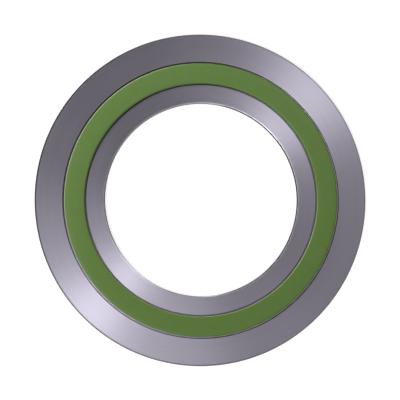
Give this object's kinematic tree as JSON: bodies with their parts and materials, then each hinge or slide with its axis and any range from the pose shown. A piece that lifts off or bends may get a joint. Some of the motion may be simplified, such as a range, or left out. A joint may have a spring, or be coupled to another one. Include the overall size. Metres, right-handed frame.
{
  "type": "corrugated metal gasket",
  "caption": "Flat round flange gasket: a hidden corrugated steel core with soft green facings, held between a flat outer centring ring and a flat inner ring round an open bore.",
  "frame": {"origin": "centre of the gasket, on the axis of its bore and midway between its two faces", "axes": "+Z along the gasket's axis, out of its upper face; +X and +Y in its middle plane"},
  "size_m": [0.181, 0.181, 0.0044],
  "materials": {
    "ring_steel": "fine turned, with concentric tool marks",
    "core_steel": "cold-rolled sheet",
    "green_facing": "smooth soft mineral sheet, slightly waxy"
  },
  "bodies": {
    "root": {"outer_ring": "ring_steel", "inner_ring": "ring_steel", "corrugated_core": "core_steel", "facing_top": "green_facing", "facing_bottom": "green_facing"}
  },
  "joints": []
}
